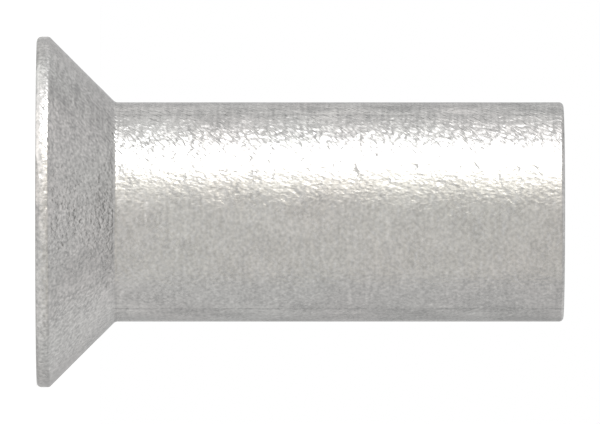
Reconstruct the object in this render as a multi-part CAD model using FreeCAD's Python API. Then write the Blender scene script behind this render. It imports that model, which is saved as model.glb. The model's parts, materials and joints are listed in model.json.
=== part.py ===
import FreeCAD, Part
import math
import os

# Sleeve nut with a countersunk head, made from one piece of stainless steel.
# The origin is the centre of the head's outer face, and +Z runs along the sleeve to its open mouth.
# Lengths are millimetres, and angles are degrees.

# Driving dimensions of the outside
overall_length = 24.0
head_overhang = 3.0  # how far the head stands out from the sleeve all round
head_land = 0.57  # height of the straight rim between the head's face and its cone
countersink_angle = 90.0  # the whole angle of the cone under the head
edge_rounding = 0.2
junction_rounding = 0.25  # the hollow where the cone runs into the sleeve

# Driving dimensions of the tapped bore
thread_diameter = 8.0
thread_pitch = 1.25
sleeve_wall = 1.0  # metal left between the thread's nominal diameter and the outside of the sleeve
drill_angle = 118.0
web_thickness = 1.5  # metal between the point of the drilled hole and the point of the socket
mouth_angle = 90.0
mouth_clearance = 0.25  # how far the mouth's countersink opens past the thread's nominal radius

# Driving dimensions of the key socket
socket_across_flats = 5.0
socket_depth = 3.5  # depth of the hexagon's corners
socket_point_angle = 120.0
lead_in_angle = 120.0
lead_in_clearance = 0.2  # how far the lead-in cone opens past the hexagon's corners

# A cutting tool starts this far outside the face that it enters
tool_overrun = 1.0

# An inside metric thread takes this share of the pitch off its nominal diameter
minor_diameter_share = 1.25 * math.cos(math.radians(30.0))

thread_radius = thread_diameter / 2
tap_drill_radius = thread_radius - minor_diameter_share * thread_pitch / 2
sleeve_radius = thread_radius + sleeve_wall
head_radius = sleeve_radius + head_overhang
socket_corner_radius = socket_across_flats / math.sqrt(3.0)


def cone_height(radius, whole_angle):
    """Height at which a cone of this whole angle, measured from its point, reaches a radius."""
    return radius / math.tan(math.radians(whole_angle / 2))


def cone_radius(height, whole_angle):
    """Radius that a cone of this whole angle reaches at a height from its point."""
    return height * math.tan(math.radians(whole_angle / 2))


def corner_arc(before, corner, after, radius):
    """The rounding of one corner of an outline: the arc's start, middle and end."""
    to_before = (before - corner).normalize()
    to_after = (after - corner).normalize()
    half_angle = to_before.getAngle(to_after) / 2
    setback = radius / math.tan(half_angle)
    inward = (to_before + to_after).normalize()
    middle = corner + inward * (radius / math.sin(half_angle) - radius)
    return corner + to_before * setback, middle, corner + to_after * setback


def rounded_outline(corners):
    """A closed wire through corners of radius, height and rounding. The first corner is sharp."""
    points = [FreeCAD.Vector(radius, 0, height) for radius, height, _ in corners]
    edges = []
    reached = points[0]
    for i in range(1, len(points)):
        rounding = corners[i][2]
        if rounding > 0:
            start, middle, end = corner_arc(points[i - 1], points[i], points[i + 1], rounding)
            edges.append(Part.makeLine(reached, start))
            edges.append(Part.Arc(start, middle, end).toShape())
            reached = end
        else:
            edges.append(Part.makeLine(reached, points[i]))
            reached = points[i]
    edges.append(Part.makeLine(reached, points[0]))
    return Part.Wire(edges)


def turned(corners):
    """The solid that a half outline sweeps in a full turn about the Z axis."""
    face = Part.Face(rounded_outline(corners))
    return face.revolve(FreeCAD.Vector(0, 0, 0), FreeCAD.Vector(0, 0, 1), 360)


def turned_blank():
    """Head and sleeve in one, before the bore and the socket are cut."""
    cone_end = head_land + cone_height(head_overhang, countersink_angle)
    return turned(
        [
            (0, 0, 0),
            (head_radius, 0, edge_rounding),
            (head_radius, head_land, edge_rounding),
            (sleeve_radius, cone_end, junction_rounding),
            (sleeve_radius, overall_length, edge_rounding),
            (0, overall_length, 0),
        ]
    )


def hexagonal_bar(corner_radius, bottom, top):
    """A six-sided bar along Z with two of its corners on the X axis."""
    corners = []
    for i in range(7):
        turn = math.radians(60.0 * i)
        x = corner_radius * math.cos(turn)
        y = corner_radius * math.sin(turn)
        corners.append(FreeCAD.Vector(x, y, bottom))
    hexagon = Part.Face(Part.makePolygon(corners))
    return hexagon.extrude(FreeCAD.Vector(0, 0, top - bottom))


def socket_point():
    """Height of the deepest point of the key socket."""
    return socket_depth + cone_height(socket_corner_radius, socket_point_angle)


def socket_tool():
    """The punch for the key socket, a hexagonal bar with a turned point, and its lead-in cone."""
    bar = hexagonal_bar(socket_corner_radius, -tool_overrun, socket_point() + tool_overrun)
    sheath_radius = socket_corner_radius + tool_overrun
    sheath_end = socket_point() - cone_height(sheath_radius, socket_point_angle)
    sheath = turned(
        [
            (0, -tool_overrun, 0),
            (sheath_radius, -tool_overrun, 0),
            (sheath_radius, sheath_end, 0),
            (0, socket_point(), 0),
        ]
    )
    lead_in_height = cone_height(socket_corner_radius + lead_in_clearance, lead_in_angle)
    lead_in = turned(
        [
            (0, -tool_overrun, 0),
            (cone_radius(lead_in_height + tool_overrun, lead_in_angle), -tool_overrun, 0),
            (0, lead_in_height, 0),
        ]
    )
    return bar.common(sheath).fuse(lead_in)


def bore_tool():
    """The tap drill with its point above the web, and the countersink of the mouth."""
    drill_point = socket_point() + web_thickness
    drill_end = drill_point + cone_height(tap_drill_radius, drill_angle)
    mouth_point = overall_length - cone_height(thread_radius + mouth_clearance, mouth_angle)
    mouth_start = mouth_point + cone_height(tap_drill_radius, mouth_angle)
    tool_top = overall_length + tool_overrun
    return turned(
        [
            (0, drill_point, 0),
            (tap_drill_radius, drill_end, 0),
            (tap_drill_radius, mouth_start, 0),
            (cone_radius(tool_top - mouth_point, mouth_angle), tool_top, 0),
            (0, tool_top, 0),
        ]
    )


def sleeve_nut():
    """The finished nut, one solid."""
    return turned_blank().cut(bore_tool()).cut(socket_tool())


os.makedirs("parts", exist_ok=True)
sleeve_nut().exportStep("parts/sleeve_nut.step")
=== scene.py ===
import json
import math

import bmesh
import bpy
from mathutils import Matrix, Quaternion, Vector


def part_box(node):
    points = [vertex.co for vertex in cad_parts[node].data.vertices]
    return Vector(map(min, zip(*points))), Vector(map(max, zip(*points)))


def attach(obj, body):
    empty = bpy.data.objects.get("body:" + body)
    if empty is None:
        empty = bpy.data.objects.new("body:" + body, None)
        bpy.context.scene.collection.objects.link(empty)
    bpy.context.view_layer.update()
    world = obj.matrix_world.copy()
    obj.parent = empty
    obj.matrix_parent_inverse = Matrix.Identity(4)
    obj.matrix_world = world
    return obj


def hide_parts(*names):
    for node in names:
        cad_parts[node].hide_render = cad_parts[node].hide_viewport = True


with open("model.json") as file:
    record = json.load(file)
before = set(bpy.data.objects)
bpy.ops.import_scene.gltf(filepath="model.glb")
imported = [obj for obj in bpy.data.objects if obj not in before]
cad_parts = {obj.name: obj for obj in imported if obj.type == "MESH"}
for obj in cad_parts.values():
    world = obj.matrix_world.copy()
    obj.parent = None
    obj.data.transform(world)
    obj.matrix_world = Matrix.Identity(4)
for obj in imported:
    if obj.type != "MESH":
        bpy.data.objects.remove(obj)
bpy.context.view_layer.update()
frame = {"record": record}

# Sleeve nut of stainless steel, standing on its countersunk head. Lengths are metres.
# The axis of the nut is Z, the head's face lies on the floor, and the sleeve's mouth is at the top.

MM = 0.001


def mount_size(name, size):
    """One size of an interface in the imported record."""
    mount = next(m for m in frame["record"]["mounts"] if m["name"] == name)
    return mount["dims"][size] * MM


# Sizes that the frame gives
node_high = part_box("sleeve_nut")[1]
LENGTH = node_high[2]
HEAD_RADIUS = node_high[0]
SLEEVE_RADIUS = mount_size("sleeve", "r_mm")
BORE_RADIUS = mount_size("tapped_bore", "r_mm")
BORE_WALL = mount_size("tapped_bore", "length_mm")  # the bore's straight wall, above its drill point

# Outside of the nut
HEAD_LAND = 0.57 * MM  # height of the head's straight rim
CONE_HALF_ANGLE = math.radians(45)
CONE_END = HEAD_LAND + (HEAD_RADIUS - SLEEVE_RADIUS) / math.tan(CONE_HALF_ANGLE)
EDGE_ROUNDING = 0.2 * MM
JUNCTION_ROUNDING = 0.25 * MM  # the hollow where the cone runs into the sleeve
FINE_EDGE = 0.05 * MM  # rounding of the edge between the end face and the mouth's countersink

# Mouth and bore
MOUTH_RADIUS = 4.25 * MM
MOUTH_HALF_ANGLE = math.radians(45)
DRILL_HALF_ANGLE = math.radians(59)

# Thread
PITCH = 1.25 * MM
THREAD_RADIUS = 4.0 * MM
FLANK_ANGLE = math.radians(30)
ROOT_FLAT = PITCH / 8
THREAD_START = 9.4 * MM  # height of the thread's deep end
RUN_OUT_TURNS = 1.6  # the groove reaches its full depth over these turns
RUN_OUT_SHARE = 0.02  # share of its full size at which the cutter starts
CUTTER_OVERLAP = 0.1 * MM  # how far the cutter reaches inside the bore's wall

# Key socket
SOCKET_ACROSS_FLATS = 5.0 * MM
SOCKET_CORNER = SOCKET_ACROSS_FLATS / math.sqrt(3)
SOCKET_DEPTH = 3.5 * MM
SOCKET_POINT_HALF_ANGLE = math.radians(60)
HEXAGON_TURN = math.radians(30)  # brings two of the hexagon's corners onto the X axis
LEAD_IN_CLEARANCE = 0.2 * MM
LEAD_IN_RADIUS = SOCKET_CORNER + LEAD_IN_CLEARANCE
LEAD_IN_HALF_ANGLE = math.radians(60)

# How finely round shapes are divided
ROUND_STEPS = 192
THREAD_STEPS = 96  # for each turn
ROUNDING_STEPS = 6
SHARP_ANGLE = math.radians(28)  # faces that meet at more than this keep a crisp edge

OVERRUN = 1.0 * MM  # a cutting tool starts this far outside the face that it enters
MERGE = 1e-7  # points nearer than this become one
NEAR = 1e-6  # a point this near to a circle is on it


def piece_from(bm, name):
    """Closes a mesh's doubles, turns its faces outwards and makes it an object at the origin."""
    bmesh.ops.remove_doubles(bm, verts=bm.verts, dist=MERGE)
    bmesh.ops.recalc_face_normals(bm, faces=bm.faces)
    mesh = bpy.data.meshes.new(name)
    bm.to_mesh(mesh)
    bm.free()
    piece = bpy.data.objects.new(name, mesh)
    bpy.context.scene.collection.objects.link(piece)
    return piece


def turned(outline):
    """A bmesh turned about Z from points of radius and height that start and end on the axis."""
    bm = bmesh.new()
    verts = [bm.verts.new((radius, 0, height)) for radius, height in outline]
    edges = [bm.edges.new(pair) for pair in zip(verts, verts[1:])]
    bmesh.ops.spin(
        bm, geom=verts + edges, cent=(0, 0, 0), axis=(0, 0, 1), angle=math.tau,
        steps=ROUND_STEPS, use_merge=True,
    )
    bmesh.ops.remove_doubles(bm, verts=bm.verts, dist=MERGE)
    return bm


def on_circle(bm, radius, height):
    """The edges of one turned corner."""
    def near(vert):
        return abs(vert.co.xy.length - radius) < NEAR and abs(vert.co.z - height) < NEAR

    return [e for e in bm.edges if all(near(v) for v in e.verts)]


def round_corner(bm, radius, height, rounding, between):
    """Rounds one turned corner whose two faces stand at the angle between."""
    bmesh.ops.bevel(
        bm, geom=on_circle(bm, radius, height), offset=rounding / math.tan(between / 2),
        offset_type="OFFSET", segments=ROUNDING_STEPS, profile=0.5, affect="EDGES", material=-1,
    )


def bake_modifiers(piece):
    """Applies every modifier of a piece to its mesh."""
    depsgraph = bpy.context.evaluated_depsgraph_get()
    mesh = bpy.data.meshes.new_from_object(piece.evaluated_get(depsgraph))
    piece.modifiers.clear()
    piece.data = mesh


def carve(piece, tool, operation="DIFFERENCE"):
    """Cuts a tool out of a piece, or keeps what they share, and removes the tool."""
    cut = piece.modifiers.new("cut", "BOOLEAN")
    cut.operation = operation
    cut.solver = "EXACT"
    cut.object = tool
    bake_modifiers(piece)
    bpy.data.objects.remove(tool)


def blank():
    """The turned nut with its drilled and countersunk bore, before the thread and the socket."""
    mouth_start = LENGTH - (MOUTH_RADIUS - BORE_RADIUS) / math.tan(MOUTH_HALF_ANGLE)
    drill_end = mouth_start - BORE_WALL
    drill_point = drill_end - BORE_RADIUS / math.tan(DRILL_HALF_ANGLE)
    bm = turned(
        [
            (0, 0),
            (HEAD_RADIUS, 0),
            (HEAD_RADIUS, HEAD_LAND),
            (SLEEVE_RADIUS, CONE_END),
            (SLEEVE_RADIUS, LENGTH),
            (MOUTH_RADIUS, LENGTH),
            (BORE_RADIUS, mouth_start),
            (BORE_RADIUS, drill_end),
            (0, drill_point),
        ]
    )
    square = math.radians(90)
    cone_corner = math.radians(180) - CONE_HALF_ANGLE
    mouth_corner = square + MOUTH_HALF_ANGLE
    round_corner(bm, HEAD_RADIUS, 0, EDGE_ROUNDING, square)
    round_corner(bm, HEAD_RADIUS, HEAD_LAND, EDGE_ROUNDING, cone_corner)
    round_corner(bm, SLEEVE_RADIUS, CONE_END, JUNCTION_ROUNDING, cone_corner)
    round_corner(bm, SLEEVE_RADIUS, LENGTH, EDGE_ROUNDING, square)
    round_corner(bm, MOUTH_RADIUS, LENGTH, FINE_EDGE, mouth_corner)
    return piece_from(bm, "sleeve_nut_body")


def socket_tool():
    """A hexagonal bar with a turned point."""
    point = SOCKET_DEPTH + SOCKET_CORNER / math.tan(SOCKET_POINT_HALF_ANGLE)
    middle = Matrix.Translation((0, 0, point / 2))
    bm = bmesh.new()
    bmesh.ops.create_cone(
        bm, cap_ends=True, segments=6, radius1=SOCKET_CORNER, radius2=SOCKET_CORNER,
        depth=point + 2 * OVERRUN, matrix=middle @ Matrix.Rotation(HEXAGON_TURN, 4, "Z"),
    )
    bar = piece_from(bm, "socket_bar")
    sheath_start = -OVERRUN / 2
    sheath_radius = SOCKET_CORNER + OVERRUN
    sheath_end = point - sheath_radius / math.tan(SOCKET_POINT_HALF_ANGLE)
    sheath = turned(
        [
            (0, sheath_start),
            (sheath_radius, sheath_start),
            (sheath_radius, sheath_end),
            (0, point),
        ]
    )
    carve(bar, piece_from(sheath, "socket_sheath"), "INTERSECT")
    return bar


def lead_in_tool():
    """The cone that opens the socket's rim."""
    height = LEAD_IN_RADIUS / math.tan(LEAD_IN_HALF_ANGLE)
    wide = (height + OVERRUN) * math.tan(LEAD_IN_HALF_ANGLE)
    bm = turned([(0, -OVERRUN), (wide, -OVERRUN), (0, height)])
    return piece_from(bm, "lead_in")


def thread_tool():
    """A right-hand helical ridge that cuts the thread's groove and fades out at its deep end."""
    inner = BORE_RADIUS - CUTTER_OVERLAP
    half_root = ROOT_FLAT / 2
    half_open = half_root + (THREAD_RADIUS - inner) * math.tan(FLANK_ANGLE)
    section = [
        (inner, -half_open),
        (THREAD_RADIUS, -half_root),
        (THREAD_RADIUS, half_root),
        (inner, half_open),
    ]
    turns = math.ceil((LENGTH - THREAD_START) / PITCH) + 1
    bm = bmesh.new()
    verts = [bm.verts.new((radius, 0, THREAD_START + height)) for radius, height in section]
    edges = [bm.edges.new(pair) for pair in zip(verts, verts[1:] + verts[:1])]
    bmesh.ops.spin(
        bm, geom=verts + edges, cent=(0, 0, 0), axis=(0, 0, 1), angle=math.tau * turns,
        steps=turns * THREAD_STEPS, dvec=(0, 0, PITCH / THREAD_STEPS),
    )
    bmesh.ops.holes_fill(bm, edges=[e for e in bm.edges if e.is_boundary], sides=len(section))
    for vert in bm.verts:
        # turn counts the turns from the deep end of the helix to the section that the point is in
        around = math.atan2(vert.co.y, vert.co.x) / math.tau
        along = (vert.co.z - THREAD_START) / PITCH
        turn = around + round(along - around)
        share = min(max(turn / RUN_OUT_TURNS, RUN_OUT_SHARE), 1)
        radius = vert.co.xy.length
        vert.co.xy *= (inner + (radius - inner) * share) / radius
    return piece_from(bm, "thread_tool")


def sleeve_nut():
    """The whole nut, one mesh."""
    nut = blank()
    carve(nut, socket_tool())
    carve(nut, lead_in_tool())
    carve(nut, thread_tool())
    nut.name = nut.data.name = "sleeve_nut_steel"
    for face in nut.data.polygons:
        face.use_smooth = True
    nut.data.set_sharp_from_angle(angle=SHARP_ANGLE)
    weigh = nut.modifiers.new("even_shading", "WEIGHTED_NORMAL")
    weigh.keep_sharp = True
    bake_modifiers(nut)
    return nut


class Value:
    """A number that varies over a surface. Sums and products with it add Math nodes."""

    def __init__(self, nodes, socket):
        self.nodes = nodes
        self.socket = socket

    def math(self, operation, *values):
        node = self.nodes.add("ShaderNodeMath", {"operation": operation}, dict(enumerate(values)))
        return self.nodes.value(node.outputs[0])

    def __add__(self, other):
        return self.math("ADD", self, other)

    __radd__ = __add__

    def __mul__(self, other):
        return self.math("MULTIPLY", self, other)

    __rmul__ = __mul__

    def __sub__(self, other):
        return self.math("SUBTRACT", self, other)

    def __rsub__(self, other):
        return self.math("SUBTRACT", other, self)

    def root(self):
        return self.math("SQRT", self)

    def absolute(self):
        return self.math("ABSOLUTE", self)

    def at_least(self, other):
        return self.math("MAXIMUM", self, other)

    def clamped(self):
        return self.math("MINIMUM", self.at_least(0.0), 1.0)

    def ramp(self, start, width):
        """0 at the start and 1 a width further on, or further back where the width is negative."""
        return ((self - start) * (1 / width)).clamped()


# What every noise shares
NOISE_TURN = (0.5, 0.8, 0.3)  # keeps its cells out of line with the nut's axes
NOISE_ROUGHNESS = 0.5
NOISE_MIDDLE = 0.5


class Nodes:
    """The nodes of a material or a world, added one at a time."""

    def __init__(self, owner):
        owner.use_nodes = True
        self.tree = owner.node_tree
        self.tree.nodes.clear()

    def add(self, kind, settings=None, sockets=None):
        """Adds a node: its settings come first, then the values or links of its sockets."""
        node = self.tree.nodes.new(kind)
        for name, setting in (settings or {}).items():
            setattr(node, name, setting)
        for key, value in (sockets or {}).items():
            source = value.socket if isinstance(value, Value) else value
            if isinstance(source, bpy.types.NodeSocket):
                self.tree.links.new(source, node.inputs[key])
            else:
                node.inputs[key].default_value = source
        return node

    def value(self, socket):
        return Value(self, socket)

    def mixed(self, factor, first, second):
        """A colour between two. A Mix node takes colours in sockets 6 and 7 and gives output 2."""
        mix = self.add("ShaderNodeMix", {"data_type": "RGBA"}, {0: factor, 6: first, 7: second})
        return mix.outputs[2]

    def noise(self, place, size, stretch=(1, 1, 1), detail=1.0, distortion=0.0):
        """Noise about 0, in spots of about half this size. A stretch below 1 lengthens them that way."""
        spread = self.add(
            "ShaderNodeMapping", {}, {"Vector": place, "Scale": stretch, "Rotation": NOISE_TURN}
        )
        pattern = self.add(
            "ShaderNodeTexNoise",
            {"noise_dimensions": "3D"},
            {
                "Vector": spread.outputs["Vector"],
                "Scale": 1 / size,
                "Detail": detail,
                "Roughness": NOISE_ROUGHNESS,
                "Distortion": distortion,
            },
        )
        return self.value(pattern.outputs["Fac"]) - NOISE_MIDDLE


# Colours of the steel
STEEL_DARK = (0.27, 0.268, 0.264, 1)
STEEL_ROSY = (0.509, 0.493, 0.482, 1)
STEEL_GREENISH = (0.499, 0.497, 0.484, 1)
EDGE_TINT = (0.66, 0.66, 0.66, 1)  # of glancing reflections

# Where the finish changes. Each place starts at its edge and is full a blend further on.
DRAG_EDGE = -2.2 * MM  # along X
DRAG_BLEND = -1.2 * MM
FLANK_EDGE = 4.0 * MM  # from the YZ plane
FLANK_BLEND = 0.5 * MM
CONE_BLEND = -0.1 * MM
BORE_EDGE = 4.5 * MM  # from the nut's axis
BORE_BLEND = -0.2 * MM
BORE_BOTTOM = 4.0 * MM
BORE_BOTTOM_BLEND = 1.0 * MM

# Patterns: the size of each noise, and its stretch along each axis
PEBBLE_SIZE = 0.172 * MM
PEBBLE_STRETCH = (1, 1, 0.62)
DRAG_SIZE = 0.16 * MM
DRAG_STRETCH = (1, 1, 0.58)
DRAG_BEND = 0.35  # how far the outlines of the marks wander
DRAG_TWIST = 150.0  # turn of the drag marks round the axis, in radians for each metre along it
WAVE_SIZE = 0.9 * MM
PATCH_SIZE = 1.6 * MM
SMUDGE_SIZE = 0.9 * MM
SMUDGE_STRETCH = (1, 1, 0.36)
GRAIN_SIZE = 0.15 * MM
RING_SIZE = 0.15 * MM
RING_STRETCH = (0.1, 0.1, 1)
TINT_SIZE = 4.0 * MM
TINT_DETAIL = 0.5
TINT_CONTRAST = 2.5
NICK_SIZE = 0.4 * MM
NICK_EDGE = 0.17  # where the noise is above this there is a nick, full a blend further on
NICK_BLEND = 0.2
NO_DETAIL = 0.0  # a noise with only its large spots
RICH_DETAIL = 2.0  # a noise with small spots in its large ones

# Strength of each mark: on plain skin, and what the dragged side and the cone add to it
PEBBLE_DEPTH = (0.74, -0.4, 0.2)
DRAG_DEPTH = (1.5, 0, -0.8)
WAVE_DEPTH = (0.8, -0.7, 0)
GRAIN_TONE = (1.1, 0, 0.6)
RING_TONE = (0.42, 0.6, 0)
SMUDGE_TONE = (0.25, 0.15, 0)
FLANK_SMUDGE_TONE = (1.0, 0.6, 0)
SKIN_ROUGHNESS = (0.28, -0.05, 0)

# Strength of the marks that are the same in all places
BUMP_HEIGHT = 0.035 * MM  # a depth of 1 is this high
DRAG_PATCHES = 0.8  # how unevenly deep the drag marks are
NICK_DEPTH = 0.5
BORE_SMOOTHING = 0.7  # share of the relief that the bore and its thread lack
PATCH_TONE = 0.4
PATCH_ROUGHNESS = 0.1
MID_TONE = 0.5  # brings noise about 0 to the middle of the range from 0 to 1

# Dark lines: thin lines along the sleeve, a set distance either side of the YZ plane, which fade out
# where its smudges are dark
LINE_OFFSET = 4.4 * MM  # from the YZ plane
LINE_HALF_WIDTH = 0.05 * MM
LINE_TONE = 0.5
LINE_CONTRAST = 3.0


def steel():
    """Tumbled stainless steel: a fine pebbled skin with drag marks, nicks, smears and thin dark lines
    along the sleeve.
    """
    material = bpy.data.materials.new("tumbled_stainless")
    nodes = Nodes(material)
    place = nodes.add("ShaderNodeTexCoord").outputs["Object"]
    apart = nodes.add("ShaderNodeSeparateXYZ", {}, {"Vector": place})
    x, y, z = (nodes.value(apart.outputs[axis]) for axis in "XYZ")
    off_axis = (x * x + y * y).root()
    slanted = nodes.add(
        "ShaderNodeVectorRotate",
        {"rotation_type": "Z_AXIS"},
        {"Vector": place, "Angle": z * -DRAG_TWIST},
    ).outputs["Vector"]

    drag_side = x.ramp(DRAG_EDGE, DRAG_BLEND)
    flank = x.absolute().ramp(FLANK_EDGE, FLANK_BLEND)
    on_cone = z.ramp(CONE_END, CONE_BLEND)
    on_sleeve = 1 - on_cone
    in_bore = off_axis.ramp(BORE_EDGE, BORE_BLEND) * z.ramp(BORE_BOTTOM, BORE_BOTTOM_BLEND)

    def local(strength):
        """The strength of a mark in each place."""
        plain, dragged, cone = strength
        total = plain
        if dragged:
            total = total + drag_side * dragged
        if cone:
            total = total + on_cone * cone
        return total

    pebbles = nodes.noise(place, PEBBLE_SIZE, PEBBLE_STRETCH)
    drags = nodes.noise(slanted, DRAG_SIZE, DRAG_STRETCH, NO_DETAIL, DRAG_BEND)
    waves = nodes.noise(place, WAVE_SIZE, detail=NO_DETAIL)
    patches = nodes.noise(place, PATCH_SIZE, detail=RICH_DETAIL)
    smudges = nodes.noise(place, SMUDGE_SIZE, SMUDGE_STRETCH, RICH_DETAIL)
    grain = nodes.noise(place, GRAIN_SIZE)
    rings = nodes.noise(place, RING_SIZE, RING_STRETCH)
    tint = nodes.noise(place, TINT_SIZE, detail=TINT_DETAIL)
    nicks = nodes.noise(place, NICK_SIZE, detail=NO_DETAIL).ramp(NICK_EDGE, NICK_BLEND)

    drag_marks = drags * drag_side * (patches * DRAG_PATCHES + local(DRAG_DEPTH))
    dents = pebbles * local(PEBBLE_DEPTH) + drag_marks
    skin = (dents + waves * local(WAVE_DEPTH) - nicks * NICK_DEPTH) * (1 - in_bore * BORE_SMOOTHING)
    bump = nodes.add(
        "ShaderNodeBump", {}, {"Height": skin, "Strength": 1.0, "Distance": BUMP_HEIGHT}
    )

    # Thin dark lines along the sleeve, each a set distance from the YZ plane, darken the steel's colour
    # there
    line_distance = (x.absolute() - LINE_OFFSET).absolute()
    dark_line = line_distance.ramp(LINE_HALF_WIDTH, -LINE_HALF_WIDTH) * on_sleeve
    dark_lines = dark_line * (smudges * LINE_CONTRAST + MID_TONE).clamped()
    smears = smudges * (flank * on_sleeve * local(FLANK_SMUDGE_TONE) + local(SMUDGE_TONE))
    mottle = grain * local(GRAIN_TONE) + smears + patches * PATCH_TONE
    scratches = rings * local(RING_TONE) - dark_lines * LINE_TONE
    tone = (mottle + scratches + MID_TONE).clamped()
    hue = (tint * TINT_CONTRAST + MID_TONE).clamped()
    light_steel = nodes.mixed(hue, STEEL_ROSY, STEEL_GREENISH)

    shader = nodes.add(
        "ShaderNodeBsdfPrincipled",
        {},
        {
            "Base Color": nodes.mixed(tone, STEEL_DARK, light_steel),
            "Metallic": 1.0,
            "Roughness": patches * PATCH_ROUGHNESS + local(SKIN_ROUGHNESS),
            "Specular Tint": EDGE_TINT,
            "Normal": bump.outputs["Normal"],
        },
    )
    nodes.add("ShaderNodeOutputMaterial", {}, {"Surface": shader.outputs["BSDF"]})
    return material


# Studio
WHITE = (1, 1, 1, 1)
FLOOR_GREY = (0.5, 0.5, 0.5, 1)
FLOOR_WIDTH = 0.8
FLOOR_GAP = 0.02 * MM  # keeps the floor clear of the head's face
FLOOR_LIFT = 0.72  # what brings the lit floor up to white where it is looked at
FLOOR_MIRRORED_LIFT = 0.85  # the same where the steel mirrors it
WORLD_FILL = 0.6  # strength of the world where it isn't seen and only lights the nut
NUT_MIDDLE = Vector((0, 0, LENGTH / 2))

# Colours of the lamps
PLAIN = (1, 1, 1)
CREAM = (1.0, 0.96, 0.88)
WARM = (1.0, 0.94, 0.8)
AMBER = (1.0, 0.88, 0.6)


def background():
    """White where it is seen, and a plain soft fill for everything else."""
    world = bpy.data.worlds.new("white_studio")
    bpy.context.scene.world = world
    nodes = Nodes(world)
    rays = nodes.add("ShaderNodeLightPath").outputs
    seen = nodes.value(rays["Is Camera Ray"])
    for kind in ("Is Glossy Ray", "Is Transmission Ray"):
        seen = seen.at_least(nodes.value(rays[kind]))
    strength = seen * (1 - WORLD_FILL) + WORLD_FILL
    light = nodes.add("ShaderNodeBackground", {}, {"Color": WHITE, "Strength": strength})
    nodes.add("ShaderNodeOutputWorld", {}, {"Surface": light.outputs[0]})


def floor_paint():
    """White where it is seen, except in the nut's shadow, and clear from below."""
    material = bpy.data.materials.new("white_floor")
    nodes = Nodes(material)
    rays = nodes.add("ShaderNodeLightPath").outputs
    looked_at = nodes.value(rays["Is Camera Ray"]) + nodes.value(rays["Is Transmission Ray"])
    mirrored = nodes.value(rays["Is Glossy Ray"])
    lift = looked_at * FLOOR_LIFT + mirrored * FLOOR_MIRRORED_LIFT
    paint = nodes.add("ShaderNodeBsdfDiffuse", {}, {"Color": FLOOR_GREY})
    glow = nodes.add("ShaderNodeEmission", {}, {"Color": WHITE, "Strength": lift})
    above = nodes.add("ShaderNodeAddShader", {}, {0: paint.outputs[0], 1: glow.outputs[0]})
    clear = nodes.add("ShaderNodeBsdfTransparent")
    from_below = nodes.add("ShaderNodeNewGeometry").outputs["Backfacing"]
    sides = nodes.add(
        "ShaderNodeMixShader", {}, {0: from_below, 1: above.outputs[0], 2: clear.outputs[0]}
    )
    nodes.add("ShaderNodeOutputMaterial", {}, {"Surface": sides.outputs[0]})
    return material


def floor():
    """A plain white floor under the nut."""
    bm = bmesh.new()
    bmesh.ops.create_grid(
        bm, x_segments=1, y_segments=1, size=FLOOR_WIDTH / 2,
        matrix=Matrix.Translation((0, 0, -FLOOR_GAP)),
    )
    ground = piece_from(bm, "floor")
    ground.data.materials.append(floor_paint())


def lamp(name, place, back, width, height, radiance, colour, spin=0.0):
    """A flat lamp with its middle at a place and its back turned one way, unseen by the camera."""
    light = bpy.data.lights.new(name, "AREA")
    light.shape = "RECTANGLE"
    light.size = width
    light.size_y = height
    light.energy = radiance * math.pi * width * height
    light.color = colour
    panel = bpy.data.objects.new(name, light)
    panel.location = place
    panel.rotation_mode = "QUATERNION"
    panel.rotation_quaternion = Quaternion((0, 0, 1), spin) @ back.to_track_quat("Z", "Y")
    panel.visible_camera = False
    bpy.context.scene.collection.objects.link(panel)


def level_way(around):
    """The level direction at an angle round the nut, in degrees from -Y towards -X."""
    angle = math.radians(around)
    return Vector((-math.sin(angle), -math.cos(angle), 0))


def softbox(name, around, up, distance, width, height, radiance, colour=PLAIN):
    """A soft lamp that faces the nut, so many degrees round it and so many up."""
    rise = math.radians(up)
    away = level_way(around) * math.cos(rise) + Vector((0, 0, math.sin(rise)))
    lamp(name, NUT_MIDDLE + away * distance, away, width, height, radiance, colour)


def foot_light(name, around, start, reach, width, radiance, colour=PLAIN):
    """A small lamp that lies on the floor and lights the head's rim. It runs out from its start."""
    middle = level_way(around) * (start + reach / 2) + Vector((0, 0, FLOOR_GAP / 2))
    spin = -math.radians(around)
    lamp(name, middle, Vector((0, 0, -1)), width, reach, radiance, colour, spin)


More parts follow.
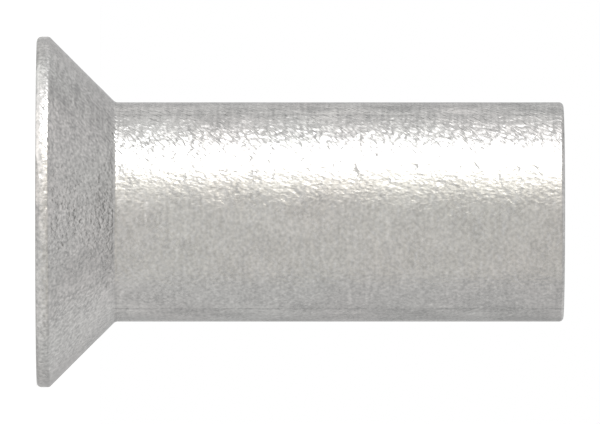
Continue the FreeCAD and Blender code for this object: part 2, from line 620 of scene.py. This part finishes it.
def lamps():
    """The key above the nut in the photo's view, weak lamps all round, and small ones at the rim."""
    softbox("key", around=61, up=6, distance=0.45, width=0.29, height=0.25, radiance=7.5)
    softbox("key_edge", around=92, up=6, distance=0.5, width=0.25, height=0.25, radiance=1.1)
    softbox(
        "key_skirt", around=42, up=8, distance=0.46, width=0.36, height=0.3, radiance=1.5, colour=WARM
    )
    softbox("top_fill", around=105, up=10, distance=0.5, width=0.6, height=0.5, radiance=0.2)
    softbox("back_light", around=140, up=10, distance=0.5, width=0.36, height=0.4, radiance=0.3)
    softbox(
        "front_fill", around=-28, up=15, distance=0.5, width=1.1, height=0.5, radiance=0.2, colour=AMBER
    )
    softbox("overhead", around=-90, up=88, distance=0.5, width=0.45, height=0.25, radiance=0.3)
    softbox("high_back", around=119, up=62, distance=0.5, width=0.22, height=0.22, radiance=0.2)
    softbox("low_back", around=-146, up=36, distance=0.5, width=0.4, height=0.36, radiance=0.35)
    foot_light("foot_edge", around=37, start=7.5 * MM, reach=3 * MM, width=8 * MM, radiance=0.6)
    foot_light(
        "foot_front", around=8, start=10 * MM, reach=14 * MM, width=8 * MM, radiance=1.15, colour=CREAM
    )
    foot_light(
        "foot_near", around=19, start=7.6 * MM, reach=1.6 * MM, width=4.5 * MM, radiance=0.35,
        colour=CREAM,
    )
    foot_light("foot_side", around=-28, start=7.5 * MM, reach=6 * MM, width=14 * MM, radiance=0.13)


# Camera. Its sensor and lens are in the camera's own millimetres.
PIXELS_WIDE = 600
PIXELS_PER_MM = 21.93
OFFSET_PIXELS = 0.15  # how far the nut's middle lies to the right of the picture's
SENSOR_WIDTH = 36.0
LENS = 1150.0
EYE_HEIGHT = 9 * MM  # from here the two ends of the nut bulge equally little in the picture
CLIP_START = 0.01
CLIP_END = 10


def camera():
    """A long lens that looks along +Y, turned so that the head is at the left."""
    data = bpy.data.cameras.new("camera")
    data.sensor_width = SENSOR_WIDTH
    data.lens = LENS
    data.clip_start = CLIP_START
    data.clip_end = CLIP_END
    view_width = PIXELS_WIDE / PIXELS_PER_MM * MM
    distance = view_width * LENS / SENSOR_WIDTH
    aim = NUT_MIDDLE - Vector((0, 0, OFFSET_PIXELS / PIXELS_PER_MM * MM))
    eye = Vector((0, -distance, EYE_HEIGHT))
    back = (eye - aim).normalized()
    up = Vector((-1, 0, 0))
    right = up.cross(back)
    cam = bpy.data.objects.new("camera", data)
    cam.matrix_world = Matrix.Translation(eye) @ Matrix((right, up, back)).transposed().to_4x4()
    bpy.context.scene.collection.objects.link(cam)
    bpy.context.scene.camera = cam


nut = sleeve_nut()
nut.data.materials.clear()
nut.data.materials.append(steel())
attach(nut, "root")
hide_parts("sleeve_nut")

background()
floor()
lamps()
camera()
bpy.context.scene.view_settings.view_transform = "Standard"
